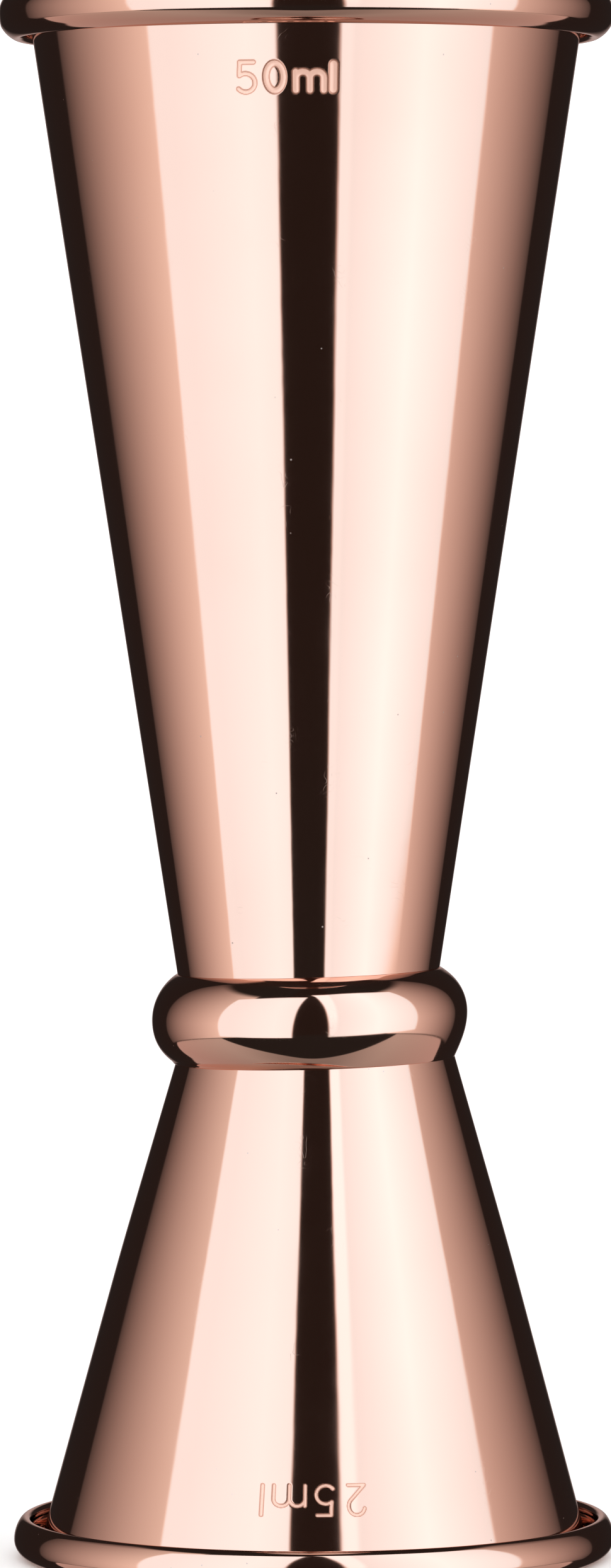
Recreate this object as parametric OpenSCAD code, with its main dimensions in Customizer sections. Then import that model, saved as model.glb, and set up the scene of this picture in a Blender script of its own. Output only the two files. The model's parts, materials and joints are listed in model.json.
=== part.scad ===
// Double-ended bar jigger: two drawn cups brazed floor to floor, with a rolled band round the waist.
// The axis is Z. The small cup's rim rests on z = 0 and the large cup opens upwards.

/* [Sheet] */
// Thickness of the cups' sheet
sheet_t = 0.8; // [0.5:0.05:1.2]
// Outside radius of the bend between a cup's floor and its wall
corner_r = 2; // [1.6:0.1:2.6]

/* [Large cup] */
// Height from the floor's underside to the rim
large_h = 76.3; // [62:0.1:92]
// Outside diameter of the rolled rim
large_rim_d = 45.7; // [40:0.1:56]
// Diameter at mid wall, carried down to the floor
large_base_d = 17.9; // [15:0.1:22]
// Depth of the draw line below the rim
large_line_drop = 14.4; // [6:0.1:24]
// How far the wall stands out from a straight cone at the draw line
large_kick = 0.03; // [0:0.01:0.3]
// Width of the rolled rim's section
large_roll_w = 3; // [2.7:0.05:3.4]
// Height of the rolled rim's widest line below its top
large_roll_h = 1.65; // [1.3:0.05:2.2]
// Drop from the rolled rim's widest line to its free edge
large_hook_h = 1.6; // [1:0.1:1.8]
// Radius of the hook's last stretch, from the widest line to the free edge
large_hook_r = 2.2; // [2.1:0.1:5]

/* [Small cup] */
// Height from the floor's upper side to the rim
small_h = 40.4; // [33:0.1:49]
// Outside diameter of the rolled rim
small_rim_d = 44.9; // [40:0.1:54]
// Diameter at mid wall, carried up to the floor
small_base_d = 18.4; // [15.5:0.1:22]
// Height of the draw line above the rim
small_line_drop = 22.7; // [8:0.1:26]
// How far the wall stands out from a straight cone at the draw line
small_kick = 0.18; // [0:0.01:0.3]
// Width of the rolled rim's section
small_roll_w = 2.85; // [2.7:0.05:3.4]
// Height of the rolled rim's widest line above the surface it stands on
small_roll_h = 1.35; // [1.3:0.05:2.2]
// Rise from the rolled rim's widest line to its free edge
small_hook_h = 1.5; // [1:0.1:1.8]
// Radius of the hook's last stretch, from the widest line to the free edge
small_hook_r = 2.2; // [2.1:0.1:5]

/* [Rims] */
// Width of the flat land that each rim stands on
land_w = 0.8; // [0.4:0.1:1]

/* [Waist] */
// Thickness of the braze between the two floors
braze_t = 0.1; // [0.05:0.01:0.2]
// Thickness of the band's sheet
band_t = 0.8; // [0.5:0.05:1]
// How far the band's crest stands out from the cups' waist
band_bulge = 2.3; // [1.8:0.1:3]
// Height of the band's upper lip above its crest
band_up = 3.4; // [2.8:0.1:4.2]
// Depth of the band's lower lip below its crest
band_down = 3.35; // [2.8:0.1:4.2]
// Width of the flat end of a lip
lip_w = 0.18; // [0.1:0.01:0.3]
// Height of a solder seam inside a lip of the band
seam_h = 1; // [0.5:0.1:1.2]

/* [Hidden] */
$fn = 96;

copper = "#d9967c";
braze_metal = "#c9a24a";
solder_metal = "#b9bcc0";

// Steps of a bend in a sheet section
corner_steps = 6;
roll_steps = 18;
hook_steps = 4;
edge_steps = 6;

// Steps of a corner bend, counted from the floor, that the braze fillet reaches
fillet_steps = 4;

large_z = small_h + braze_t;
crest_z = small_h + braze_t / 2;

// ---- Sheet sections ----

// Points round a circle or an ellipse, from angle a0 to a1 in n steps
function arc(c, rx, ry, a0, a1, n) =
    [for (i = [0:n]) let (a = a0 + (a1 - a0) * i / n) c + [rx * cos(a), ry * sin(a)]];

function unit(v) = v / norm(v);

// Left-hand normal of the stretch from p to q
function left(p, q) = let (u = unit(q - p)) [-u[1], u[0]];

// Mitred offset of point i of a path, by d to the left
function shifted(path, i, d) =
    let (
        last = len(path) - 1,
        before = left(path[max(i - 1, 0)], path[max(i, 1)]),
        after = left(path[min(i, last - 1)], path[min(i + 1, last)]),
        mid = unit(before + after)
    ) path[i] + mid * d / (mid * after);

function side(path, d) = [for (i = [0:len(path) - 1]) shifted(path, i, d)];

// Mid-line of the bend from the floor to a wall that leaves at angle a
function corner_line(base_d, a) =
    let (
        r = corner_r - sheet_t / 2,
        foot = [base_d / 2, sheet_t / 2],
        centre = foot + [-r * tan(a / 2), r]
    ) arc(centre, r, r, -90, a - 90, corner_steps);

// Half axes of a rolled rim's mid-line, and the angle that its flat land takes up each side
function roll_axes(roll_w, roll_h) =
    let (land = asin(land_w / roll_w))
    [(roll_w - sheet_t) / 2, (roll_h - sheet_t / 2) / cos(land), land];

// Direction of the wall from p that just touches a rim, seen with that rim squashed to a circle
function touch_angle(p, centre, axes) =
    let (to_centre = [centre[0] - p[0], (centre[1] - p[1]) * axes[0] / axes[1]])
    atan2(to_centre[1], to_centre[0]) + asin(axes[0] / norm(to_centre));

// Point of the mid-line on the draw line
function line_point(h, base_d, drop, kick, centre, axes) =
    let (
        foot = [base_d / 2, sheet_t / 2],
        lean = axes[0] / axes[1] / tan(touch_angle(foot, centre, axes)),
        rise = h - drop - foot[1]
    ) foot + [rise * lean + kick, rise];

// Mid-line of the rolled rim: over the top to the widest line, then down the hook to the free edge
function roll_line(line, centre, axes, hook_h, hook_r) =
    let (
        over = roll_steps / 2,
        tail_r = hook_r - sheet_t / 2,
        tail = centre + [axes[0] - tail_r, 0]
    ) concat(
        arc(centre, axes[0], axes[1], touch_angle(line, centre, axes) + 90, 90 + axes[2], over),
        arc(centre, axes[0], axes[1], 90 - axes[2], 0, over),
        [for (i = [1:hook_steps])
            let (turn = asin(hook_h / tail_r) * i / hook_steps) tail + tail_r * [cos(turn), -sin(turn)]]
    );

// Mid-line of a whole cup, floor on the axis first
function cup_line(h, rim_d, base_d, drop, kick, roll_w, roll_h, hook_h, hook_r) =
    let (
        centre = [(rim_d - roll_w) / 2, h - roll_h],
        axes = roll_axes(roll_w, roll_h),
        line = line_point(h, base_d, drop, kick, centre, axes),
        lower = line - [base_d / 2, sheet_t / 2]
    ) concat(
        [[0, sheet_t / 2]],
        corner_line(base_d, atan2(lower[1], lower[0])),
        [line],
        roll_line(line, centre, axes, hook_h, hook_r)
    );

// Rounded free edge of a sheet whose mid-line ends at q, coming from p
function edge_cap(p, q) =
    let (u = unit(q - p), heading = atan2(u[1], u[0]))
    [for (i = [1:edge_steps - 1])
        let (a = heading + 90 - 180 * i / edge_steps) q + sheet_t / 2 * [cos(a), sin(a)]];

// Closed outline of a sheet that follows a mid-line
function sheet_outline(path) =
    let (last = len(path) - 1, back = side(path, -sheet_t / 2))
    concat(side(path, sheet_t / 2), edge_cap(path[last - 1], path[last]), [for (i = [last:-1:0]) back[i]]);

large_line = cup_line(large_h, large_rim_d, large_base_d, large_line_drop, large_kick,
    large_roll_w, large_roll_h, large_hook_h, large_hook_r);
small_line = cup_line(small_h, small_rim_d, small_base_d, small_line_drop, small_kick,
    small_roll_w, small_roll_h, small_hook_h, small_hook_r);

// Point of a cup's outer face that the braze fillet reaches
reach = fillet_steps + 1;

// Each cup's outer face from its floor to its draw line, in the assembly's own heights
draw_step = corner_steps + 2;
large_face = [for (i = [0:draw_step]) shifted(large_line, i, -sheet_t / 2) + [0, large_z]];
small_face = [
    for (i = [0:draw_step])
        let (p = shifted(small_line, i, -sheet_t / 2)) [p[0], small_h - p[1]]
];

// Radius at height z of the straight wall above a cup's corner bend
function wall_r(face, z) =
    let (p = face[draw_step - 1], q = face[draw_step])
    p[0] + (q[0] - p[0]) * (z - p[1]) / (q[1] - p[1]);

// ---- Band sizes, taken from the cups that it sits on ----

// To the nearest micron, so that the two curves of the band meet exactly at its crest
function micron(x) = round(x * 1000) / 1000;

band_r = micron(max(wall_r(large_face, crest_z), wall_r(small_face, crest_z)) + band_bulge);

// Outside radius of the band's curve from its crest to a lip that lies rise away along the axis
function curve_r(face, up, rise) =
    let (fall = band_r - wall_r(face, crest_z + up * rise) - lip_w)
    micron((rise * rise + fall * fall) / (2 * fall));

band_up_r = curve_r(large_face, 1, band_up);
band_down_r = curve_r(small_face, -1, band_down);

// ---- Pieces ----

module large_cup() {
    color(copper)
        translate([0, 0, large_z])
            rotate_extrude()
                polygon(sheet_outline(large_line));
}

module small_cup() {
    color(copper)
        translate([0, 0, small_h])
            mirror([0, 0, 1])
                rotate_extrude()
                    polygon(sheet_outline(small_line));
}

// Film between the floors, with its fillet in the groove between the two corner bends
module waist_braze() {
    color(braze_metal)
        rotate_extrude()
            polygon(concat(
                [for (i = [0:reach]) small_face[i]],
                [for (i = [reach:-1:0]) large_face[i]]
            ));
}

// The two cups near the waist, taken as solid with the braze between them, seen from the crest's height
module waist_core() {
    translate([0, -crest_z]) polygon(concat(
        [[0, small_face[draw_step][1]]],
        [for (i = [draw_step:-1:reach]) small_face[i]],
        [for (i = [reach:draw_step]) large_face[i]],
        [[0, large_face[draw_step][1]]]
    ));
}

// Half disc of the band's section above (up = 1) or below (up = -1) its crest, which is at height 0
module band_disc(outer_r, inset, up) {
    mirror([0, up > 0 ? 0 : 1])
        intersection() {
            translate([band_r - outer_r, 0])
                circle(r = outer_r - inset);
            square([band_r * 2, outer_r]);
        }
}

module band_section(inset) {
    band_disc(band_up_r, inset, 1);
    band_disc(band_down_r, inset, -1);
}

module waist_collar() {
    color(copper)
        translate([0, 0, crest_z])
            rotate_extrude()
                intersection() {
                    difference() {
                        band_section(0);
                        band_section(band_t);
                        waist_core();
                    }
                    translate([0, -band_down])
                        square([band_r * 2, band_up + band_down]);
                }
}

// Clearance at a given rise from the crest between the band's inner curve and a cup's wall
function gap_at(face, outer_r, up, rise) =
    band_r - outer_r + sqrt(pow(outer_r - band_t, 2) - rise * rise) - wall_r(face, crest_z + up * rise);

// Rise at which that clearance closes, found by halving
function meeting(face, outer_r, up, low, high, tries) =
    let (mid = (low + high) / 2)
    tries == 0 ? mid
        : gap_at(face, outer_r, up, mid) > 0 ? meeting(face, outer_r, up, mid, high, tries - 1)
        : meeting(face, outer_r, up, low, mid, tries - 1);

// Solder seam in the wedge between the band's inner curve and a cup's wall
module collar_seam(face, outer_r, up) {
    tip = meeting(face, outer_r, up, 0, outer_r - band_t, 20);
    color(solder_metal)
        translate([0, 0, crest_z])
            rotate_extrude()
                intersection() {
                    difference() {
                        band_disc(outer_r, band_t, up);
                        waist_core();
                    }
                    translate([band_r / 2, up * tip - seam_h])
                        square([band_r, seam_h * 2]);
                }
}

module collar_solder_large() {
    collar_seam(large_face, band_up_r, 1);
}

module collar_solder_small() {
    collar_seam(small_face, band_down_r, -1);
}

large_cup();
small_cup();
waist_braze();
waist_collar();
collar_solder_large();
collar_solder_small();
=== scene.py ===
"""A double-ended bar jigger in mirror-polished rose copper plate, standing on its small cup."""

import json
import logging
import math
from dataclasses import dataclass
from enum import Enum
from typing import Callable, Sequence

import bpy
import numpy as np
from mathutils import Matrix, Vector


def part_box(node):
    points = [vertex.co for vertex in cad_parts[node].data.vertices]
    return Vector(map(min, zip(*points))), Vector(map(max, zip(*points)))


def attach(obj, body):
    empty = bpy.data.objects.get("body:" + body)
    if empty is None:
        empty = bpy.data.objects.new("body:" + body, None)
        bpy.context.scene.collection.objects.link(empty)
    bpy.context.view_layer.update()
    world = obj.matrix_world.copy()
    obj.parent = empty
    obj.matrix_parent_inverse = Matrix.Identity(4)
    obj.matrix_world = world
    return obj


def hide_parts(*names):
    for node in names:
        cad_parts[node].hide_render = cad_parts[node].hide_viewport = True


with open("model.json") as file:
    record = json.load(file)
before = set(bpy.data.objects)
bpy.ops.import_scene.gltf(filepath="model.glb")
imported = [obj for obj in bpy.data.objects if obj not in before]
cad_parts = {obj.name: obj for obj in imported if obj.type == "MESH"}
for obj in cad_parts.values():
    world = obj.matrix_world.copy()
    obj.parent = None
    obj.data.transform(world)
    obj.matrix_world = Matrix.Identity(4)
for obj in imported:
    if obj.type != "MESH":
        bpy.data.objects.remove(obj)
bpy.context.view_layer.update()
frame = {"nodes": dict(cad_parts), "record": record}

MM = 0.001
ROOT_BODY = "root"
CAD_INSET = 0.002 * MM

Colour = tuple[float, float, float]
Triple = tuple[float, float, float]
Span = tuple[float, float]
Settings = dict[str, object] | None
Inputs = dict[str | int, object] | None
log = logging.getLogger("jigger")


class Channel(Enum):
    """Per-vertex masks that a finish reads."""

    SATIN = "satin"
    STAMP = "stamp"


# ---------------------------------------------------------------- shader maths


class Graph:
    """A node tree that is built one node at a time.

    The three numbers are the places of a Mix node's colour sockets, which share their names with others.
    """

    COLOUR_A = 6
    COLOUR_B = 7
    COLOUR_OUT = 2

    def __init__(self, tree: bpy.types.NodeTree) -> None:
        """Empty the tree and keep it."""
        self.tree = tree
        tree.nodes.clear()

    def add(self, kind: str, settings: Settings = None, inputs: Inputs = None) -> bpy.types.Node:
        """Add a node.

        Args:
            kind: The node's type name.
            settings: Properties to set first.
            inputs: Values, sockets or Value objects by the socket's name or number.

        Returns:
            The new node.
        """
        node = self.tree.nodes.new(kind)
        for name, setting in (settings or {}).items():
            setattr(node, name, setting)
        for name, given in (inputs or {}).items():
            self.feed(node.inputs[name], given)
        return node

    def feed(self, socket: bpy.types.NodeSocket, given: object) -> None:
        """Link a socket, or set its value.

        Args:
            socket: The input to feed.
            given: A Value or a socket to link, or a plain value.
        """
        if isinstance(given, Value):
            given = given.socket
        if isinstance(given, bpy.types.NodeSocket):
            self.tree.links.new(given, socket)
        else:
            socket.default_value = given

    def value(
        self, kind: str, settings: Settings = None, inputs: Inputs = None, output: str | int = 0
    ) -> "Value":
        """Add a node and wrap one of its outputs."""
        return Value(self, self.add(kind, settings, inputs).outputs[output])

    def mask(self, channel: Channel) -> "Value":
        """Per-vertex mask of the mesh."""
        return self.value("ShaderNodeAttribute", {"attribute_name": channel.value}, output="Fac")

    def noise(self, place: object, scale: float, detail: float, rough: float = 0.5) -> "Value":
        """Add a noise.

        Args:
            place: Position to look it up at, in metres.
            scale: Number of waves in a metre.
            detail: Number of finer layers.
            rough: Share that each finer layer keeps.

        Returns:
            The noise, from 0 to 1 and mostly near a half.
        """
        inputs = {"Vector": place, "Scale": scale, "Detail": detail, "Roughness": rough}
        return self.value("ShaderNodeTexNoise", None, inputs)

    def stretched(self, place: object, scale: Triple, turn: Triple = (0.0, 0.0, 0.0)) -> bpy.types.NodeSocket:
        """Turn and stretch a position."""
        inputs = {"Vector": place, "Scale": scale, "Rotation": turn}
        return self.add("ShaderNodeMapping", {"vector_type": "POINT"}, inputs).outputs["Vector"]

    def blend(self, share: object, first: object, second: object) -> bpy.types.NodeSocket:
        """Mix two colours.

        Args:
            share: Share of the second one.
            first: A colour or a colour's socket.
            second: A colour or a colour's socket.

        Returns:
            The mixed colour's socket.
        """
        first, second = ((*given, 1.0) if isinstance(given, tuple) else given for given in (first, second))
        inputs = {"Factor": share, self.COLOUR_A: first, self.COLOUR_B: second}
        return self.add("ShaderNodeMix", {"data_type": "RGBA"}, inputs).outputs[self.COLOUR_OUT]

    def bump(
        self, depth: float, height: "Value", over: object = None, strength: float = 1.0, sunk: bool = False
    ) -> bpy.types.NodeSocket:
        """Add fine relief.

        Args:
            depth: Height in metres of a value of 1.
            height: The relief.
            over: Normal of the relief that this one lies on, if there is one.
            strength: Share of the relief that shows.
            sunk: True where a value of 1 is a groove.

        Returns:
            The normal's socket.
        """
        inputs = {"Strength": strength, "Distance": depth, "Height": height}
        if over is not None:
            inputs["Normal"] = over
        return self.add("ShaderNodeBump", {"invert": sunk}, inputs).outputs["Normal"]

    def mix_shaders(
        self, share: object, first: bpy.types.Node, second: bpy.types.Node
    ) -> bpy.types.NodeSocket:
        """Mix two shaders by the second one's share."""
        inputs = {0: share, 1: first.outputs[0], 2: second.outputs[0]}
        return self.add("ShaderNodeMixShader", None, inputs).outputs[0]

    def end_in_metal(self, colour: object, metallic: object, roughness: object, normal: object) -> None:
        """Add the metal's shader and the output that shows it.

        Args:
            colour: Base colour.
            metallic: Share that is bare metal.
            roughness: Roughness.
            normal: Normal with all relief in it.
        """
        inputs = {"Base Color": colour, "Metallic": metallic, "Roughness": roughness, "Normal": normal}
        shader = self.add("ShaderNodeBsdfPrincipled", None, inputs)
        self.add("ShaderNodeOutputMaterial", None, {"Surface": shader.outputs["BSDF"]})


class Value:
    """A number that varies over a surface or a sky, with the usual operators."""

    def __init__(self, graph: Graph, socket: bpy.types.NodeSocket) -> None:
        """Wrap a socket."""
        self.graph = graph
        self.socket = socket

    def _math(self, operation: str, first: object, second: object = 0.0) -> "Value":
        """Add one Math node."""
        return self.graph.value("ShaderNodeMath", {"operation": operation}, {0: first, 1: second})

    def __add__(self, other: object) -> "Value":
        """Sum."""
        return self._math("ADD", self, other)

    def __radd__(self, other: object) -> "Value":
        """Sum, reflected."""
        return self._math("ADD", other, self)

    def __sub__(self, other: object) -> "Value":
        """Difference."""
        return self._math("SUBTRACT", self, other)

    def __rsub__(self, other: object) -> "Value":
        """Difference, reflected."""
        return self._math("SUBTRACT", other, self)

    def __mul__(self, other: object) -> "Value":
        """Product."""
        return self._math("MULTIPLY", self, other)

    def __rmul__(self, other: object) -> "Value":
        """Product, reflected."""
        return self._math("MULTIPLY", other, self)

    def __truediv__(self, other: object) -> "Value":
        """Quotient."""
        return self._math("DIVIDE", self, other)

    def __pow__(self, other: object) -> "Value":
        """Power."""
        return self._math("POWER", self, other)

    def __abs__(self) -> "Value":
        """Size without sign."""
        return self._math("ABSOLUTE", self)

    def over(self, other: object) -> "Value":
        """The larger of two numbers."""
        return self._math("MAXIMUM", self, other)

    def under(self, other: object) -> "Value":
        """The smaller of two numbers."""
        return self._math("MINIMUM", self, other)

    def arcsine(self) -> "Value":
        """Angle in radians whose sine this is."""
        return self._math("ARCSINE", self)

    def turn_from(self, along: object) -> "Value":
        """Angle in radians of the direction with this across and the other along."""
        return self._math("ARCTAN2", self, along)

    def ease(self, low: object, high: object) -> "Value":
        """Smooth step from 0 at low to 1 at high."""
        inputs = {"Value": self, "From Min": low, "From Max": high}
        return self.graph.value("ShaderNodeMapRange", {"interpolation_type": "SMOOTHSTEP"}, inputs)

    def ramp(self, span: Span, ends: Span) -> "Value":
        """Straight ramp between two end values over a span, held beyond it."""
        inputs = dict(zip(("Value", "From Min", "From Max", "To Min", "To Max"), (self, *span, *ends)))
        return self.graph.value("ShaderNodeMapRange", {"interpolation_type": "LINEAR"}, inputs)


# ---------------------------------------------------------------- finishes


def new_finish(name: str) -> tuple[bpy.types.Material, Graph]:
    """Make a material with an empty node tree.

    Args:
        name: The finish's name.

    Returns:
        The material and its tree.
    """
    made = bpy.data.materials.new(name)
    made.use_nodes = True
    return made, Graph(made.node_tree)


@dataclass(frozen=True)
class CopperPlate:
    """Rose copper plate: polished to a mirror outside, satin where a cup holds the drink."""

    name: str
    tint: Colour = (0.95, 0.58, 0.46)
    aged_tint: Colour = (0.90, 0.50, 0.385)
    aged_share: float = 0.35
    stamp_tint: Colour = (1.0, 0.60, 0.47)
    # Painted shade: a darker colour painted on the groove walls along each stamped stroke's edge.
    groove_wall_shade_tint: Colour = (0.62, 0.27, 0.18)
    stamp_frost: float = 0.6
    satin_tint: Colour = (0.97, 0.66, 0.54)
    dust_tint: Colour = (0.62, 0.56, 0.52)
    dust_share: float = 0.5
    polish: float = 0.052
    haze: float = 0.03
    hairline_roughness: float = 0.05
    dust_roughness: float = 0.35
    satin: float = 0.27
    stamp_roughness: float = 0.30
    swell_depth: float = 0.010 * MM
    hairline_depth: float = 0.0003 * MM
    satin_depth: float = 0.0016 * MM
    smudge_scale: float = 70.0
    mottle_scale: float = 45.0
    swell_scale: float = 190.0
    ripple_scale: float = 700.0
    ripple_share: float = 0.16
    hairline_scale: float = 1500.0
    hairline_step: float = 400.0
    hairline_patch_scale: float = 260.0
    hairline_turns: tuple[Triple, ...] = ((0.5, 0.2, 0.3), (1.3, 0.7, 1.9), (2.4, 1.6, 0.8))
    dust_scale: float = 900.0
    ring_scale: float = 5200.0

    def material(self) -> bpy.types.Material:
        """Build the node tree.

        Returns:
            The finished material.
        """
        made, graph = new_finish(self.name)
        place = graph.add("ShaderNodeTexCoord").outputs["Object"]
        satin = graph.mask(Channel.SATIN)
        stamp = graph.mask(Channel.STAMP)
        hairlines = self._hairlines(graph, place)
        dust = self._dust(graph, place)
        smudge = graph.noise(place, self.smudge_scale, 4.0, 0.6).ease(0.42, 0.75)
        mottle = graph.noise(place, self.mottle_scale, 3.0).ease(0.35, 0.8)

        polished = self.polish + self.haze * smudge + self.hairline_roughness * hairlines
        roughness = polished + (self.satin - polished) * satin
        roughness = roughness + (self.stamp_roughness - roughness) * stamp
        roughness = roughness + self.dust_roughness * dust * (1.0 - satin)

        plain = graph.blend(mottle * self.aged_share, self.tint, self.aged_tint)
        brushed = graph.blend(satin, plain, self.satin_tint)
        stamped = graph.blend(stamp, brushed, self.stamp_tint)
        # Painted shade on the groove walls: the darker colour peaks where the frosted mask is half on, at
        # each stroke's edge.
        groove_wall_shade = stamp * (1.0 - stamp) * 4.0
        groove_shaded = graph.blend(groove_wall_shade, stamped, self.groove_wall_shade_tint)
        colour = graph.blend(dust * self.dust_share, groove_shaded, self.dust_tint)

        swell = graph.bump(self.swell_depth, self._swell(graph, place))
        lines = graph.bump(self.hairline_depth, hairlines * (1.0 - satin), swell, sunk=True)
        rings = graph.bump(self.satin_depth, self._lathe_rings(graph, place) * satin, lines)
        graph.end_in_metal(colour, 1.0 - self.stamp_frost * stamp, roughness, rings)
        return made

    def _swell(self, graph: Graph, place: object) -> Value:
        """Faint long ripples that drawing and buffing leave in the wall.

        Args:
            graph: The finish's tree.
            place: Position on the jigger.

        Returns:
            The ripples' height.
        """
        broad = graph.noise(graph.stretched(place, (1.0, 1.0, 0.35)), self.swell_scale, 1.0)
        fine = graph.noise(graph.stretched(place, (1.0, 1.0, 0.6)), self.ripple_scale, 1.0)
        return broad + fine * self.ripple_share

    def _hairlines(self, graph: Graph, place: object) -> Value:
        """Sparse handling scratches, in three directions.

        Args:
            graph: The finish's tree.
            place: Position on the jigger.

        Returns:
            1 on a scratch and 0 beside it.
        """
        total = None
        for number, turn in enumerate(self.hairline_turns):
            scale = self.hairline_scale + self.hairline_step * number
            streak = graph.noise(graph.stretched(place, (1.0, 0.07, 1.0), turn), scale, 0.0)
            patch = graph.noise(graph.stretched(place, (1.0, 1.0, 1.0), turn), self.hairline_patch_scale, 2.0)
            line = (1.0 - abs(streak - 0.5).ease(0.004, 0.014)) * patch.ease(0.62, 0.71)
            total = line if total is None else total.over(line)
        return total

    def _dust(self, graph: Graph, place: object) -> Value:
        """Single specks, far apart.

        Args:
            graph: The finish's tree.
            place: Position on the jigger.

        Returns:
            1 on a speck and 0 beside it.
        """
        cells = graph.add("ShaderNodeTexVoronoi", None, {"Vector": place, "Scale": self.dust_scale})
        near = 1.0 - Value(graph, cells.outputs["Distance"]).ease(0.04, 0.08)
        pick = graph.value("ShaderNodeSeparateColor", None, {"Color": cells.outputs["Color"]}, "Red")
        return near * pick.ease(0.90, 0.93)

    def _lathe_rings(self, graph: Graph, place: object) -> Value:
        """Fine rings of a satin-brushed inside."""
        return graph.noise(graph.stretched(place, (0.02, 0.02, 1.0)), self.ring_scale, 3.0)


@dataclass(frozen=True)
class FlowedMetal:
    """Solder or braze as it set: bright, slightly rippled, with a dull skin in places."""

    name: str
    tint: Colour
    skin_tint: Colour
    bright_roughness: float = 0.22
    skin_roughness: float = 0.3
    skin_scale: float = 350.0
    ripple_scale: float = 900.0
    ripple_depth: float = 0.03 * MM
    ripple_strength: float = 0.6

    def material(self) -> bpy.types.Material:
        """Build the node tree.

        Returns:
            The finished material.
        """
        made, graph = new_finish(self.name)
        place = graph.add("ShaderNodeTexCoord").outputs["Object"]
        ripple = graph.noise(place, self.ripple_scale, 3.0)
        skin = graph.noise(place, self.skin_scale, 5.0).ease(0.4, 0.7)
        colour = graph.blend(skin, self.tint, self.skin_tint)
        relief = graph.bump(self.ripple_depth, ripple, strength=self.ripple_strength)
        graph.end_in_metal(colour, 1.0, self.bright_roughness + self.skin_roughness * skin, relief)
        return made


@dataclass(frozen=True)
class PaleFloor:
    """Matt white studio floor, clear when seen from below."""

    name: str = "pale_floor"
    tint: Colour = (0.93, 0.93, 0.93)

    def material(self) -> bpy.types.Material:
        """Build the node tree.

        Returns:
            The finished material.
        """
        made, graph = new_finish(self.name)
        matt = graph.add("ShaderNodeBsdfDiffuse", None, {"Color": (*self.tint, 1.0)})
        clear = graph.add("ShaderNodeBsdfTransparent")
        from_below = graph.add("ShaderNodeNewGeometry").outputs["Backfacing"]
        graph.add("ShaderNodeOutputMaterial", None, {"Surface": graph.mix_shaders(from_below, matt, clear)})
        return made


# ---------------------------------------------------------------- turned sheet


def arc(centre: Sequence[float], radii: Sequence[float], start: float, stop: float, steps: int) -> np.ndarray:
    """Points round an ellipse.

    Args:
        centre: Radius and height of its centre.
        radii: Half widths along the radius and the height.
        start: First angle in degrees.
        stop: Last angle in degrees.
        steps: Number of steps between them.

    Returns:
        One row per point.
    """
    angles = np.radians(np.linspace(start, stop, steps + 1))
    return np.stack([centre[0] + radii[0] * np.cos(angles), centre[1] + radii[1] * np.sin(angles)], axis=1)


def straight(start: Sequence[float], stop: Sequence[float], steps: int, guard: float) -> np.ndarray:
    """Inner points of a straight stretch, with one close to each end to keep the shading true there.

    Args:
        start: Its first end.
        stop: Its last end.
        steps: Number of even steps along it.
        guard: Distance of the two close points from the ends.

    Returns:
        One row per point, without the ends.
    """
    start, stop = np.asarray(start, float), np.asarray(stop, float)
    length = float(np.linalg.norm(stop - start))
    shares = np.linspace(0.0, 1.0, steps + 1)[1:-1]
    shares = np.concatenate([[guard / length], shares, [1.0 - guard / length]])
    return start + (stop - start) * shares[:, None]


def left_normals(path: np.ndarray) -> np.ndarray:
    """Find the unit normals to the left of a path.

    Args:
        path: One row per point.

    Returns:
        One row per point.
    """
    ahead = np.gradient(path, axis=0)
    ahead /= np.linalg.norm(ahead, axis=1)[:, None]
    return np.stack([-ahead[:, 1], ahead[:, 0]], axis=1)


def turned_mesh(
    name: str, section: np.ndarray, angles: np.ndarray, shift: np.ndarray, poles: bool
) -> bpy.types.Mesh:
    """Turn a section round the axis.

    Args:
        name: Name of the mesh.
        section: Radius and height of each ring, running with the solid on its left.
        angles: Angle of each column in radians, counted from -Y towards +X.
        shift: Radius and height to add at each ring and column.
        poles: True where the section starts and ends on the axis, False where it is a closed loop.

    Returns:
        The mesh, smooth shaded.
    """
    rings, columns = len(section), len(angles)
    radius = section[:, None, 0] + shift[..., 0]
    height = section[:, None, 1] + shift[..., 1]
    points = np.stack([radius * np.sin(angles), -radius * np.cos(angles), height], axis=2).reshape(-1, 3)
    ring, column = np.meshgrid(np.arange(rings - 1 if poles else rings), np.arange(columns), indexing="ij")
    below, beside = (ring + 1) % rings, (column + 1) % columns
    corners = [(ring, column), (ring, beside), (below, beside), (below, column)]
    faces = np.stack([row * columns + place for row, place in corners], axis=2).reshape(-1, 4).tolist()
    vertices = points.tolist()
    if poles:
        for pole_ring, is_first in ((0, True), (rings - 1, False)):
            hub = len(vertices)
            vertices.append([0.0, 0.0, float(section[pole_ring, 1])])
            base = pole_ring * columns
            rim = [(base + place, base + (place + 1) % columns) for place in range(columns)]
            faces.extend([hub, b, a] if is_first else [hub, a, b] for a, b in rim)
    mesh = bpy.data.meshes.new(name)
    mesh.from_pydata(vertices, [], faces)
    mesh.validate()
    mesh.shade_smooth()
    return mesh


def push_aside(mesh: bpy.types.Mesh, sway: Callable[[np.ndarray], np.ndarray]) -> None:
    """Move a mesh's points to the right by an amount that depends on their height.

    Args:
        mesh: The mesh to change.
        sway: Gives the amounts for an array of heights.
    """
    points = np.empty(len(mesh.vertices) * 3)
    mesh.vertices.foreach_get("co", points)
    points[0::3] += sway(points[2::3])
    mesh.vertices.foreach_set("co", points)
    mesh.update()


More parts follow.
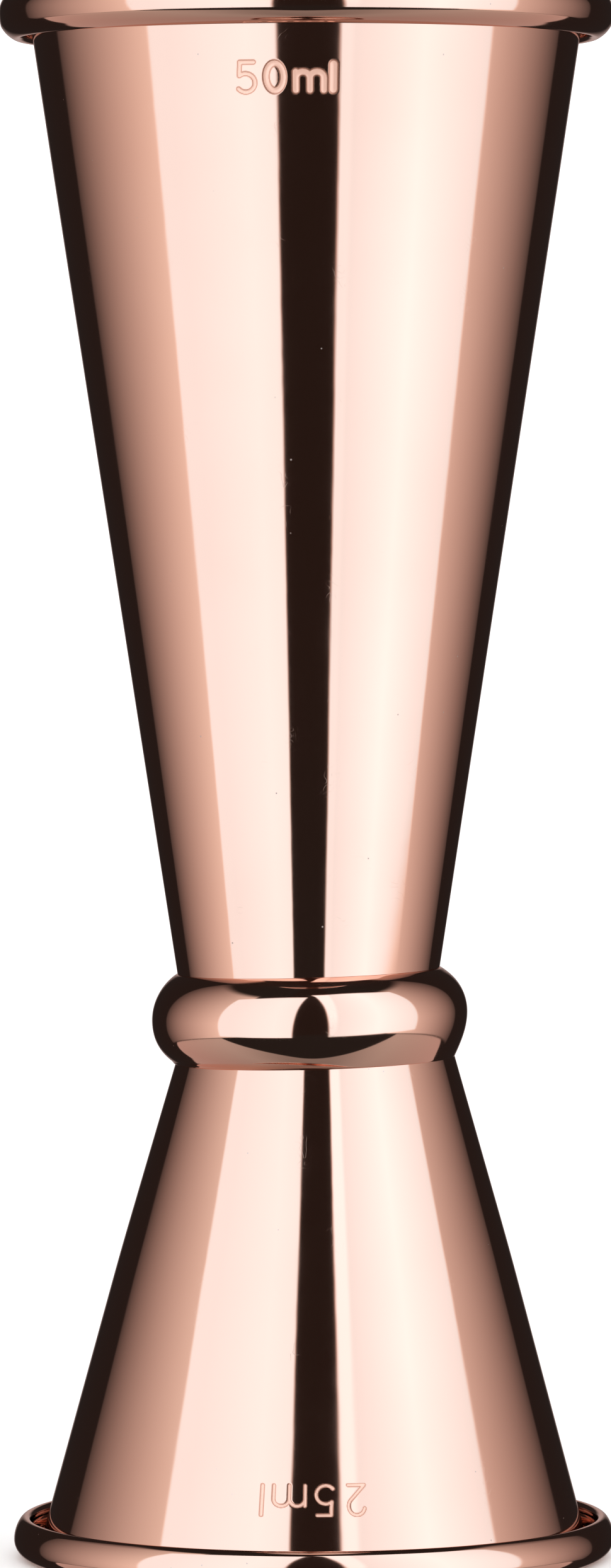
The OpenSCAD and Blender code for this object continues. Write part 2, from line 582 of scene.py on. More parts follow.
def paint(mesh: bpy.types.Mesh, channel: Channel, amounts: np.ndarray) -> None:
    """Store a mask on a mesh, padded with its last value for the hubs.

    Args:
        mesh: The mesh to paint.
        channel: Which mask it is.
        amounts: One value per ring and column.
    """
    layer = mesh.attributes.new(channel.value, "FLOAT", "POINT")
    flat = amounts.reshape(-1).astype(np.float32)
    layer.data.foreach_set("value", np.pad(flat, (0, len(mesh.vertices) - len(flat)), mode="edge"))


# ---------------------------------------------------------------- capacity marks


class Glyph(Enum):
    """Plain single-stroke characters, as strokes in a box one unit high, with its width."""

    FIVE = ("five", 0.60)
    ZERO = ("zero", 0.64)
    TWO = ("two", 0.56)
    M = ("m", 1.06)
    L = ("l", 0.0)

    @property
    def width(self) -> float:
        """Width between the outermost stroke lines."""
        return self.value[1]

    def strokes(self) -> list[np.ndarray]:
        """Draw the character.

        Returns:
            Its stroke lines, one row per point.
        """
        w = self.width
        if self is Glyph.FIVE:
            neck = (0.12 * w, 0.55)
            bowl = arc((0.46 * w, 0.31), (0.54 * w, 0.31), 128.0, -140.0, steps=20)
            return [np.array([(0.94 * w, 1.0), (0.16 * w, 1.0), neck]), np.vstack([[neck], bowl])]
        if self is Glyph.ZERO:
            return [arc((0.5 * w, 0.5), (0.5 * w, 0.5), 0.0, 360.0, steps=36)]
        if self is Glyph.TWO:
            crown = arc((0.5 * w, 0.70), (0.48 * w, 0.30), 165.0, -38.0, steps=18)
            return [np.vstack([crown, [(0.02 * w, 0.0), (w, 0.0)]])]
        if self is Glyph.M:
            half, top, arch_h = w / 2, 0.69, 0.24
            spring = top - arch_h
            ends = (top, spring, spring)
            stems = [np.array([(half * n, 0.0), (half * n, end)]) for n, end in enumerate(ends)]
            arches = [arc((half * n, spring), (half / 2, arch_h), 180.0, 0.0, steps=12) for n in (0.5, 1.5)]
            return stems + arches
        return [np.array([(0.0, 0.0), (0.0, 1.0)])]


@dataclass(frozen=True)
class Letter:
    """One stamped character: its shape, its stroke's width and the space before it."""

    glyph: Glyph
    stroke: float
    space: float = 0.0


@dataclass(frozen=True)
class CapacityMark:
    """A capacity stamped into a cup's wall as soft grooves.

    A groove's depth is in proportion to its stroke: `depth` goes with a half width of `depth_half`. Its
    reach and its frosted part are shares of the stroke's half width.
    """

    letters: Sequence[Letter]
    height: float
    from_rim: float
    aside: float
    depth: float = 0.030 * MM
    depth_half: float = 0.28 * MM
    groove_reach: float = 1.1
    groove_round: float = 0.02
    frost_full: float = 0.66
    frost_fade: float = 0.54

    def total_width(self) -> float:
        """Width of the whole text."""
        return sum(self._width(letter) + letter.space for letter in self.letters)

    def _line_height(self, letter: Letter) -> float:
        """Height between the outermost stroke lines of a character."""
        return self.height - letter.stroke

    def _width(self, letter: Letter) -> float:
        """Width of a character with its stroke."""
        return letter.glyph.width * self._line_height(letter) + letter.stroke

    def nearness(self, across: np.ndarray, along: np.ndarray) -> tuple[np.ndarray, np.ndarray]:
        """How near wall points are to a stroke's line.

        Args:
            across: Arc lengths to the right of the text's centre.
            along: Lengths above the text's centre.

        Returns:
            Distance as a share of the stroke's half width, and that half width, in the inputs' shape.
        """
        points = np.stack(np.broadcast_arrays(across, along), axis=-1)
        nearest = np.full(points.shape[:-1], np.inf)
        halves = np.zeros(points.shape[:-1])
        pen = -self.total_width() / 2
        for letter in self.letters:
            pen += letter.space
            half = letter.stroke / 2
            size = self._line_height(letter)
            corner = np.array([pen + half, -size / 2])
            for line in letter.glyph.strokes():
                line = corner + line * size
                for start, stop in zip(line[:-1], line[1:]):
                    run = stop - start
                    share = np.clip(((points - start) @ run) / float(run @ run), 0.0, 1.0)
                    gaps = np.linalg.norm(points - start - share[..., None] * run, axis=-1) / half
                    closer = gaps < nearest
                    nearest = np.where(closer, gaps, nearest)
                    halves = np.where(closer, half, halves)
            pen += self._width(letter)
        return nearest, halves

    def press(self, nearness: np.ndarray, halves: np.ndarray) -> tuple[np.ndarray, np.ndarray]:
        """Press the strokes into the wall.

        Args:
            nearness: Distance from a stroke's line as a share of its half width.
            halves: That half width.

        Returns:
            How deep the wall is pressed in, and the mask of the frosted stroke.
        """
        slope = self.depth / self.depth_half
        rounded = np.sqrt(np.minimum(nearness, self.groove_reach) ** 2 + self.groove_round)
        groove = slope * halves * np.clip(self.groove_reach - rounded, 0.0, 1.0)
        mask = 1.0 - np.clip((nearness - self.frost_full) / self.frost_fade, 0.0, 1.0)
        return groove, mask


# ---------------------------------------------------------------- cups


class Facing(Enum):
    """Which way a cup opens."""

    UP = 1
    DOWN = -1


@dataclass
class Cup:
    """One drawn cup: floor, corner bend, tapered wall with a faint draw line, and a rim rolled outwards.

    Sections and mid-lines are pairs of radius and height above the cup's own floor.
    """

    node: str
    facing: Facing
    base_d: float
    line_drop: float
    kick: float
    line_blend: float
    roll_w: float
    roll_h: float
    hook: Sequence[tuple[float, float]]
    mark: CapacityMark
    aside: float = 0.0
    lean: float = 0.0
    sheet: float = 0.8 * MM
    corner_r: float = 2.0 * MM
    columns: int = 230
    mark_step: float = 0.066 * MM
    mark_margin: float = 0.3 * MM
    mark_row_margin: float = 0.25 * MM
    hub_shares: Span = (0.35, 0.4)
    guard: float = 0.12 * MM

    def __post_init__(self) -> None:
        """Read the cup's place and outer sizes from the frame."""
        low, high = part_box(self.node)
        self.height = high[2] - low[2]
        self.rim_r = min(high[0], high[1]) - CAD_INSET
        self.floor_z = low[2] if self.facing is Facing.UP else high[2]

    def sway(self, heights: np.ndarray) -> np.ndarray:
        """How far the cup sits to the right at given heights in the frame."""
        return self.aside + self.lean * heights

    def world(self, section: np.ndarray) -> np.ndarray:
        """Section points with their height counted in the frame."""
        return np.stack([section[:, 0], self.floor_z + self.facing.value * section[:, 1]], axis=1)

    @property
    def mark_height(self) -> float:
        """Height of the mark's middle above the cup's floor."""
        return self.height - self.mark.from_rim

    def _roll(self) -> tuple[np.ndarray, np.ndarray]:
        """Centre and half widths of the rolled rim's mid-line."""
        centre = np.array([self.rim_r - self.roll_w / 2, self.height - self.roll_h])
        return centre, np.array([(self.roll_w - self.sheet) / 2, self.roll_h - self.sheet / 2])

    def _touch(self, start: np.ndarray) -> float:
        """Find where a wall touches the roll.

        Args:
            start: Point that the wall comes from.

        Returns:
            The wall's angle in radians, with the roll squashed to a circle.
        """
        centre, radii = self._roll()
        away = (centre - start) * np.array([1.0, radii[0] / radii[1]])
        return math.atan2(away[1], away[0]) + math.asin(radii[0] / float(np.linalg.norm(away)))

    def _draw_point(self) -> np.ndarray:
        """Find the mid-line's point on the draw line.

        Returns:
            Its radius and height.
        """
        radii = self._roll()[1]
        foot = np.array([self.base_d / 2, self.sheet / 2])
        rise = self.height - self.line_drop - foot[1]
        lean = radii[0] / radii[1] / math.tan(self._touch(foot))
        return foot + np.array([rise * lean + self.kick, rise])

    def _hook_line(self, start: np.ndarray) -> np.ndarray:
        """Draw the hook under the roll, as arcs that follow on from one another.

        Args:
            start: The roll's widest point.

        Returns:
            The hook's mid-line.
        """
        lines = []
        at, turned = start, 0.0
        for outer_r, turn in self.hook:
            radius = outer_r - self.sheet / 2
            inward = radius * np.array([math.cos(math.radians(turned)), -math.sin(math.radians(turned))])
            lines.append(arc(at - inward, (radius, radius), -turned, -turn, steps=8)[1:])
            at, turned = lines[-1][-1], turn
        return np.vstack(lines)

    def middle(self) -> tuple[np.ndarray, dict[str, int]]:
        """Draw the mid-line of the sheet, from near the axis to the free edge.

        Returns:
            The points, and the places of the wall's two ends among them.
        """
        foot = np.array([self.base_d / 2, self.sheet / 2])
        draw = self._draw_point()
        lower = (draw - foot) / np.linalg.norm(draw - foot)
        lean = math.degrees(math.atan2(lower[1], lower[0]))
        bend_r = self.corner_r - self.sheet / 2
        bend_centre = foot + np.array([-bend_r * math.tan(math.radians(lean / 2)), bend_r])
        bend = arc(bend_centre, (bend_r, bend_r), -90.0, lean - 90.0, steps=10)

        centre, radii = self._roll()
        touch = math.degrees(self._touch(draw)) + 90.0
        over = arc(centre, radii, touch, 0.0, steps=40)
        upper = (over[0] - draw) / np.linalg.norm(over[0] - draw)
        entry, leave = draw - lower * self.line_blend, draw + upper * self.line_blend
        shares = np.linspace(0.0, 1.0, 7)[:, None]
        blend = (1 - shares) ** 2 * entry + 2 * shares * (1 - shares) * draw + shares**2 * leave

        hub, second = (np.array([share * self.base_d / 2, foot[1]]) for share in self.hub_shares)
        parts = [
            hub[None],
            straight(second, bend[0], 2, self.guard),
            bend,
            straight(bend[-1], blend[0], 14, self.guard),
            blend,
            straight(blend[-1], over[0], 8, self.guard),
            over,
            self._hook_line(centre + np.array([radii[0], 0.0])),
        ]
        ends = np.cumsum([len(part) for part in parts])
        marks = {"wall_start": int(ends[2]) - 1, "wall_stop": int(ends[5])}
        return np.vstack(parts), marks

    def section(self) -> tuple[np.ndarray, np.ndarray]:
        """Give the mid-line its thickness.

        Returns:
            Ring points from the floor's outside round the free edge to the floor's inside, and the satin
            mask's value at each.
        """
        path, marks = self.middle()
        normal = left_normals(path)
        normal[0] = (0.0, 1.0)
        outer = path - normal * self.sheet / 2
        inner = path + normal * self.sheet / 2
        heading = math.degrees(math.atan2(*(path[-1] - path[-2])[::-1]))
        cap = arc(path[-1], (self.sheet / 2, self.sheet / 2), heading - 90.0, heading + 90.0, steps=12)[1:-1]
        outer = self._with_mark_rows(outer, marks)
        section = np.vstack([outer, cap, inner[::-1]])
        fade_rings = 2.0
        depth_inside = np.clip((marks["wall_stop"] - np.arange(len(inner))) / fade_rings, 0.0, 1.0)
        satin = np.concatenate([np.zeros(len(outer) + len(cap)), depth_inside[::-1]])
        return section, satin

    def _with_mark_rows(self, outer: np.ndarray, marks: dict[str, int]) -> np.ndarray:
        """Put close rows on the outer wall where the mark is stamped.

        Args:
            outer: Outside of the sheet.
            marks: Places of the wall's ends in it.

        Returns:
            The outside with the wall's own points there replaced by the close rows.
        """
        middle = self.mark_height
        reach = self.mark.height / 2 + self.mark_row_margin
        heights = outer[:, 1]
        wall = np.zeros(len(outer), bool)
        wall[marks["wall_start"] + 1 : marks["wall_stop"]] = True
        spare = wall & (np.abs(heights - middle) < reach)
        rows = np.linspace(middle - reach, middle + reach, int(2 * reach / self.mark_step) + 1)
        start = int(np.searchsorted(heights[: marks["wall_stop"]], middle - reach))
        near = np.arange(marks["wall_start"], marks["wall_stop"] + 1)
        radius = np.interp(rows, heights[near], outer[near, 0])
        kept = np.delete(outer, np.flatnonzero(spare), axis=0)
        return np.insert(kept, start, np.stack([radius, rows], axis=1), axis=0)

    def wall_radius(self, z: float) -> float:
        """Find the radius of the outer wall's cone next to the floor.

        Args:
            z: Height in the frame, which may lie beyond the cone.

        Returns:
            The radius there.
        """
        path, marks = self.middle()
        outer = self.world(path - left_normals(path) * self.sheet / 2)
        near, far = outer[marks["wall_start"] + 2], outer[marks["wall_start"] + 6]
        return float(near[0] + (far[0] - near[0]) * (z - near[1]) / (far[1] - near[1]))

    def _column_angles(self, mark_r: float) -> np.ndarray:
        """Spread the mesh's columns, close together where the mark is stamped.

        Args:
            mark_r: Radius of the wall at the mark.

        Returns:
            Angle of each column in radians.
        """
        half_span = (self.mark.total_width() / 2 + self.mark_margin) / mark_r
        centre = self.mark.aside / mark_r
        dense = np.arange(centre - half_span, centre + half_span, self.mark_step / mark_r)
        rest = 2 * math.pi - (dense[-1] - dense[0])
        coarse = dense[-1] + rest * np.arange(1, self.columns) / self.columns
        return np.concatenate([dense, coarse])

    def _stamp(
        self, section: np.ndarray, rows: np.ndarray, ring: int, angles: np.ndarray
    ) -> tuple[np.ndarray, np.ndarray]:
        """Stamp the mark into the wall.

        Args:
            section: Ring points.
            rows: True on the rings that the mark may reach.
            ring: The ring at the mark's middle.
            angles: Angle of each column.

        Returns:
            Radius and height to add at each ring and column, and the mask of the frosted strokes.
        """
        mark_r = section[ring, 0]
        lean = math.atan2(*(section[ring + 1] - section[ring - 1]))
        round_wall = 2 * math.pi * mark_r
        across = self.facing.value * (angles - self.mark.aside / mark_r) * mark_r
        across = (across + round_wall / 2) % round_wall - round_wall / 2
        along = (section[:, 1] - self.mark_height) / math.cos(lean)
        pressed = np.zeros((len(section), len(angles)))
        mask = np.zeros_like(pressed)
        nearness = self.mark.nearness(across[None, :], along[rows, None])
        pressed[rows], mask[rows] = self.mark.press(*nearness)
        inward = np.array([-math.cos(lean), self.facing.value * math.sin(lean)])
        return pressed[..., None] * inward, mask

    def build(self, finish: bpy.types.Material) -> None:
        """Make the cup's mesh with its stamped mark, and dress it.

        Args:
            finish: Material of the whole cup.
        """
        section, satin = self.section()
        away = np.abs(section[:, 1] - self.mark_height)
        ring = int(np.argmin(away[: len(section) // 2]))
        rows = (away < self.mark.height / 2 + self.mark_margin) & (satin == 0.0)
        angles = self._column_angles(section[ring, 0])
        shift, frosted = self._stamp(section, rows, ring, angles)
        mesh = turned_mesh(self.node, self.world(section), angles, shift, poles=True)
        if self.facing is Facing.DOWN:
            mesh.flip_normals()
        push_aside(mesh, self.sway)
        paint(mesh, Channel.SATIN, np.repeat(satin[:, None], len(angles), axis=1))
        paint(mesh, Channel.STAMP, frosted)
        mesh.materials.append(finish)
        place_piece(f"{self.node}_shell", mesh, self.node)


# ---------------------------------------------------------------- waist


@dataclass
class WaistBand:
    """The rolled band round the joint: two curves from its crest to a rounded lip on each cup's wall."""

    large: Cup
    small: Cup
    node: str = "waist_collar"
    sheet: float = 0.8 * MM
    lip_w: float = 0.05 * MM
    lip_depth: float = 0.22 * MM
    lip_round: float = 0.10 * MM
    lip_crown: float = 0.02 * MM
    lip_corner_share: float = 0.8
    askew: float = 1.2
    aside: float = 0.13 * MM
    sway_power: int = 4
    columns: int = 320

    def __post_init__(self) -> None:
        """Read the band's crest and lips from the frame."""
        low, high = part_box(self.node)
        self.crest_r = min(high[0], high[1]) - CAD_INSET
        self.low_z, self.high_z = low[2], high[2]
        self.crest_z = (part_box(self.large.node)[0][2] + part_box(self.small.node)[1][2]) / 2

    def _half(self, cup: Cup, lip_z: float) -> tuple[np.ndarray, np.ndarray]:
        """Draw the band from its crest to one lip.

        Args:
            cup: The cup that the lip sits on.
            lip_z: Height of the lip's end.

        Returns:
            Outside points from the crest to where the lip meets the wall, and inside points back to the
            crest.
        """
        rise = abs(lip_z - self.crest_z)
        up = 1.0 if lip_z > self.crest_z else -1.0
        fall = self.crest_r - cup.wall_radius(lip_z) - self.lip_w
        radius = (rise**2 + fall**2) / (2 * fall)
        centre = np.array([self.crest_r - radius, self.crest_z])
        end = math.degrees(math.asin((rise - self.lip_round) / radius))
        outside = arc(centre, (radius, radius), 0.0, up * end, steps=40)
        inner_r = radius - self.sheet
        meet = self._meeting_height(cup, up, centre[0], inner_r, rise)
        inside = arc(centre, (inner_r, inner_r), up * math.degrees(math.asin(meet / inner_r)), 0.0, steps=16)
        return np.vstack([outside, self._nose(cup, up, lip_z, outside[-1])]), inside

    def _nose(self, cup: Cup, up: float, lip_z: float, start: np.ndarray) -> np.ndarray:
        """Round a lip over and down to its wall, as a cubic curve.

        Args:
            cup: The cup that the lip sits on.
            up: 1 for the upper lip and -1 for the lower one.
            lip_z: Height of the lip's end.
            start: Where the band's outside stops.

        Returns:
            Points after the start.
        """
        wall = cup.wall_radius(lip_z)
        corner = np.array([wall + self.lip_w * self.lip_corner_share, lip_z])
        crown = np.array([wall + self.lip_crown, lip_z])
        foot_z = lip_z - up * self.lip_depth
        foot = np.array([cup.wall_radius(foot_z), foot_z])
        shares = np.linspace(0.0, 1.0, 11)[1:, None]
        return (
            (1 - shares) ** 3 * start
            + 3 * shares * (1 - shares) ** 2 * corner
            + 3 * shares**2 * (1 - shares) * crown
            + shares**3 * foot
        )

    def _meeting_height(self, cup: Cup, up: float, centre_r: float, inner_r: float, rise: float) -> float:
        """Find where the band's inside meets a cup's wall.

        Args:
            cup: The cup.
            up: 1 for the upper cup and -1 for the lower one.
            centre_r: Radius at which the inside curve has its centre.
            inner_r: Radius of the inside curve.
            rise: Height of the lip from the crest.

        Returns:
            Height from the crest.
        """
        just_short, samples = 0.999, 400
        heights = np.linspace(0.0, min(rise, inner_r) * just_short, samples)
        wall = cup.wall_radius(self.crest_z)
        slope = (cup.wall_radius(self.crest_z + up * heights[-1]) - wall) / heights[-1]
        gap = centre_r + np.sqrt(inner_r**2 - heights**2) - wall - slope * heights
        return heights[int(np.argmax(gap < 0.0))] if np.any(gap < 0.0) else heights[-1]

    def _lean(self, section: np.ndarray, angles: np.ndarray) -> np.ndarray:
        """Set the band slightly askew, with its lips still on the walls.

        Args:
            section: Ring points.
            angles: Angle of each column.

        Returns:
            Radius and height to add at each ring and column.
        """
        raised = self.crest_r * math.tan(math.radians(self.askew)) * np.sin(angles)
        share = np.clip((section[:, 1] - self.low_z) / (self.high_z - self.low_z), 0.0, 1.0)
        up = (self.large.wall_radius(self.high_z + MM) - self.large.wall_radius(self.high_z)) / MM
        down = (self.small.wall_radius(self.low_z + MM) - self.small.wall_radius(self.low_z)) / MM
        slope = down + (up - down) * share
        height = np.broadcast_to(raised, (len(section), len(angles)))
        return np.stack([slope[:, None] * raised, height], axis=2)

    def sway(self, heights: np.ndarray) -> np.ndarray:
        """Set the band's middle aside, with each lip on its own cup.

        Args:
            heights: Heights in the frame.

        Returns:
            Distance to the right at each.
        """
        down = (self.crest_z - heights) / (self.crest_z - self.low_z)
        up = (heights - self.crest_z) / (self.high_z - self.crest_z)
        down, up = (np.clip(share, 0.0, 1.0) ** self.sway_power for share in (down, up))
        own = self.aside * (1.0 - down - up)
        return self.small.sway(heights) * down + self.large.sway(heights) * up + own

    def build(self, finish: bpy.types.Material) -> None:
        """Make the band's mesh and dress it.

        Args:
            finish: Material of the whole band.
        """
        upper_out, upper_in = self._half(self.large, self.high_z)
        lower_out, lower_in = self._half(self.small, self.low_z)
        section = np.vstack([lower_out[::-1], upper_out[1:], upper_in, lower_in[::-1][1:]])
        angles = 2 * math.pi * np.arange(self.columns) / self.columns
        mesh = turned_mesh(self.node, section, angles, self._lean(section, angles), poles=False)
        push_aside(mesh, self.sway)
        for channel in Channel:
            paint(mesh, channel, np.zeros(len(section) * self.columns))
        mesh.materials.append(finish)
        place_piece("waist_band", mesh, self.node)


def place_piece(name: str, mesh: bpy.types.Mesh, node: str) -> None:
    """Put a mesh in the scene in a CAD node's place.

    Args:
        name: Name of the piece.
        mesh: Its mesh, in the frame's own place.
        node: The CAD node that it stands for.
    """
    piece = bpy.data.objects.new(name, mesh)
    bpy.context.scene.collection.objects.link(piece)
    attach(piece, ROOT_BODY)
    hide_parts(node)
    slot_of(node)
    log.info("%s: %d faces, stands for %s", name, len(mesh.polygons), node)


def slot_of(node: str) -> str:
    """Material slot that the record gives a node."""
    return next(part["material_slot"] for part in frame["record"]["subparts"] if part["node"] == node)


@dataclass(frozen=True)
class HiddenJoints:
    """The braze and the two solder seams, in their CAD shapes."""

    braze: FlowedMetal = FlowedMetal("waist_braze", (0.78, 0.62, 0.30), (0.45, 0.35, 0.20))
    solder: FlowedMetal = FlowedMetal("collar_solder", (0.72, 0.73, 0.75), (0.38, 0.38, 0.40))
    braze_node: str = "waist_braze"
    upper_node: str = "collar_solder_large"
    lower_node: str = "collar_solder_small"

    def dress(self, band: WaistBand) -> None:
        """Give each joint its finish, and set the lower seam under the lip that it holds.

        Args:
            band: The band whose lips the seams hold.
        """
        solder = self.solder.material()
        self._assign(self.braze_node, self.braze.material())
        self._assign(self.upper_node, solder)
        source = frame["nodes"][self.lower_node]
        mesh = source.data.copy()
        mesh.name = self.lower_node
        mesh.transform(source.matrix_world)
        mesh.materials.clear()
        mesh.materials.append(solder)
        push_aside(mesh, band.sway)
        place_piece("lower_seam", mesh, self.lower_node)

    @staticmethod
    def _assign(node: str, finish: bpy.types.Material) -> None:
        """Swap the material in every slot of a CAD node's object.

        Args:
            node: The CAD node.
            finish: Its new material.
        """
        for material_slot in frame["nodes"][node].material_slots:
            material_slot.material = finish
        log.info("%s: CAD shape, finish %s", node, finish.name)


# ---------------------------------------------------------------- studio


@dataclass(frozen=True)
class SoftBox:
    """A tall light panel beside the camera, as the metal sees it, with all angles in degrees.

    The inner edge slants outwards going down and closes to the middle at the height `closing`. The ceiling
    droops beyond `crown` and the sill rises outwards. The light falls off by `fade` on both sides of
    `peak`, and a lamp's strip of strength `glint` stands at the inner edge.
    """

    side: int
    inner: float
    slant: float
    outer: float
    top: float
    crown: float
    level: float
    peak: float
    fade: float
    glint: float = 0.0
    edge: float = 0.8
    bottom: float = -24.0
    closing: float = 62.0
    ceiling_droop: float = 0.0035
    sill_rise: float = 0.0012
    fade_reach: float = 34.0
    strip_stop: Span = (18.5, 21.5)
    strip_climb: Span = (-20.0, 14.0)
    strip_levels: Span = (0.25, 1.0)

    def _past(self, angle: Value, limit: object) -> Value:
        """1 beyond a limit and 0 before it, with the panel's soft edge."""
        return angle.ease(limit - self.edge, limit + self.edge)

    def mask(self, azimuth: Value, elevation: Value) -> Value:
        """Outline the panel.

        Args:
            azimuth: Angle to the right of the camera.
            elevation: Angle above level.

        Returns:
            1 inside the panel and 0 outside, with slightly soft edges.
        """
        across = azimuth * float(self.side)
        closing = (1.0 - (elevation.over(0.0) / self.closing) ** 4.0).over(0.0) ** 0.5
        inner = (self.inner - elevation * self.slant) * closing
        ceiling = self.top - (across - self.crown).over(0.0) ** 2.0 * self.ceiling_droop
        sill = self.bottom + across**2.0 * self.sill_rise
        inside = self._past(across, inner) * (1.0 - self._past(across, self.outer))
        inside = inside * (1.0 - self._past(elevation, ceiling))
        return inside * self._past(elevation, sill)

    def light(self, azimuth: Value, elevation: Value) -> Value:
        """Light the panel.

        Args:
            azimuth: Angle to the right of the camera.
            elevation: Angle above level.

        Returns:
            Brightness at each place of the panel.
        """
        across = azimuth * float(self.side)
        away = (abs(across - self.peak) / self.fade_reach).under(1.0)
        climb = elevation.ramp(self.strip_climb, self.strip_levels)
        strip = (1.0 - across.ease(*self.strip_stop)) * climb * self.glint
        return (1.0 - away * self.fade) * self.level + strip


@dataclass(frozen=True)
class Studio:
    """Plain white surroundings, with what the polished metal reflects: two panels, grey wings and dark gaps.

    Angles are in degrees. A span is where one thing gives way to the next, or a pair of end values.
    """

    left: SoftBox = SoftBox(
        side=-1, inner=12.1, slant=0.045, outer=70.7, top=58.0, crown=10.0, level=1.66, peak=26.0, fade=0.11
    )
    right: SoftBox = SoftBox(
        side=1,
        inner=13.6,
        slant=0.062,
        outer=85.6,
        top=63.0,
        crown=25.0,
        level=1.80,
        peak=52.0,
        fade=0.22,
        glint=0.34,
        edge=1.1,
    )
    panel_hue: Colour = (0.71, 0.888, 1.0)
    panel_hue_span: Span = (0.15, 0.95)
    fringe_hue: Colour = (1.0, 0.74, 0.64)
    fringe_stop: Span = (18.0, 28.0)
    fringe_sill: Span = (-22.0, -18.0)
    wing_hue: Colour = (1.0, 0.94, 0.89)
    far_hue: Colour = (1.0, 0.80, 0.755)
    far_span: Span = (72.0, 122.0)
    wing_centre: float = 1.8
    wing_level: float = 0.83
    wing_fall: float = 0.0140
    wing_dim: float = 0.0055
    wing_inner: Span = (58.0, 60.0)
    wing_start: float = 76.0
    wing_stop: float = 131.5
    wing_slant: float = 0.05
    wing_edge: float = 0.8
    wing_top: Span = (50.0, 57.0)
    horizon: float = -20.0
    horizon_edge: float = 1.0
    ground_level: float = 0.40
    front_ground_level: float = 0.26
    front_span: Span = (20.0, 75.0)
    ground_climb: Span = (-85.0, -25.0)
    ground_shares: Span = (0.72, 1.16)
    ground_edge: float = 1.6
    lens_low: float = -62.0
    lens_rise: float = 0.0085
    lens_top: float = 0.6
    rear_drop: float = 16.0
    rear_span: Span = (122.0, 140.0)
    dark_level: float = 0.0195
    back_level: float = 0.4
    back_span: Span = (166.0, 178.0)
    back_height: float = 6.0
    back_fade: Span = (28.0, 50.0)
    overhead_level: float = 1.5
    overhead_span: Span = (80.0, 86.0)
    white_level: float = 1.32
    floor_size: float = 6.0
    floor_drop: float = 0.01 * MM

    def build(self) -> None:
        """Make the surroundings and the floor."""
        world = bpy.data.worlds.new("studio")
        world.use_nodes = True
        bpy.context.scene.world = world
        world.cycles.sampling_method = "NONE"
        graph = Graph(world.node_tree)
        seen = graph.add("ShaderNodeTexCoord").outputs["Generated"]
        parts = graph.add("ShaderNodeSeparateXYZ", None, {0: seen})
        x, y, z = (Value(graph, parts.outputs[n]) for n in range(3))
        degrees = 180.0 / math.pi
        azimuth = x.turn_from(y * -1.0) * degrees
        elevation = z.arcsine() * degrees

        masks = [panel.mask(azimuth, elevation) for panel in (self.left, self.right)]
        lights = [panel.light(azimuth, elevation) for panel in (self.left, self.right)]
        lit = masks[0] + masks[1]
        panels = masks[0] * lights[0] + masks[1] * lights[1]
        others = self._wings(azimuth, elevation).over(self._ground(azimuth, elevation))
        others = others.over(self._backdrop(azimuth, elevation)) * (1.0 - lit)
        hue = self._hue(graph, azimuth, elevation, lit)
        level = panels + others + self.dark_level
        reflected = graph.add("ShaderNodeBackground", None, {"Color": hue, "Strength": level})
        white = graph.add(
            "ShaderNodeBackground", None, {"Color": (1.0, 1.0, 1.0, 1.0), "Strength": self.white_level}
        )
        glossy = graph.add("ShaderNodeLightPath").outputs["Is Glossy Ray"]
        graph.add("ShaderNodeOutputWorld", None, {"Surface": graph.mix_shaders(glossy, white, reflected)})
        self._lay_floor()

    def _hue(self, graph: Graph, azimuth: Value, elevation: Value, lit: Value) -> bpy.types.NodeSocket:
        """Tint the light.

        Args:
            graph: The world's tree.
            azimuth: Angle to the right of the camera.
            elevation: Angle above level.
            lit: 1 inside the panels.

        Returns:
            Cool panels, warm wings that grow warmer to the rear, and a warm fringe between the panels.
        """
        dim = graph.blend(abs(azimuth).ramp(self.far_span, (0.0, 1.0)), self.wing_hue, self.far_hue)
        between = (1.0 - abs(azimuth).ease(*self.fringe_stop)) * elevation.ease(*self.fringe_sill)
        fringed = graph.blend(between, dim, self.fringe_hue)
        return graph.blend(lit.ease(*self.panel_hue_span), fringed, self.panel_hue)

    def _wings(self, azimuth: Value, elevation: Value) -> Value:
        """Light the grey screens behind the panels' outer edges, standing on the horizon.

        Args:
            azimuth: Angle to the right of the camera.
            elevation: Angle above level.

        Returns:
            Brightness, falling away to the rear.
        """
        aside = abs(azimuth - self.wing_centre)
        raised = elevation.over(0.0)
        level = (self.wing_level - (aside - self.wing_start) * self.wing_fall).over(self.dark_level)
        level = level * (1.0 - raised * self.wing_dim)
        stop = self.wing_stop - raised * self.wing_slant
        gone = aside.ease(stop - self.wing_edge, stop + self.wing_edge)
        level = level * aside.ease(*self.wing_inner) * (1.0 - gone)
        level = level * (1.0 - elevation.ease(*self.wing_top))
        return level * elevation.ease(self.horizon - self.horizon_edge, self.horizon + self.horizon_edge)

    def _ground(self, azimuth: Value, elevation: Value) -> Value:
        """Light the grey table all round, with a dark lens in front of the camera.

        Args:
            azimuth: Angle to the right of the camera.
            elevation: Angle above level.

        Returns:
            Brightness, with a darker middle in front.
        """
        front = 1.0 - abs(azimuth).ease(*self.front_span)
        level = self.ground_level - front * (self.ground_level - self.front_ground_level)
        level = level * elevation.ramp(self.ground_climb, self.ground_shares)
        lens = (azimuth**2.0 * self.lens_rise + self.lens_low).under(self.horizon + self.lens_top)
        rear = self.horizon - abs(azimuth).ease(*self.rear_span) * self.rear_drop
        edge = lens.under(rear)
        return level * (1.0 - elevation.ease(edge - self.ground_edge, edge))

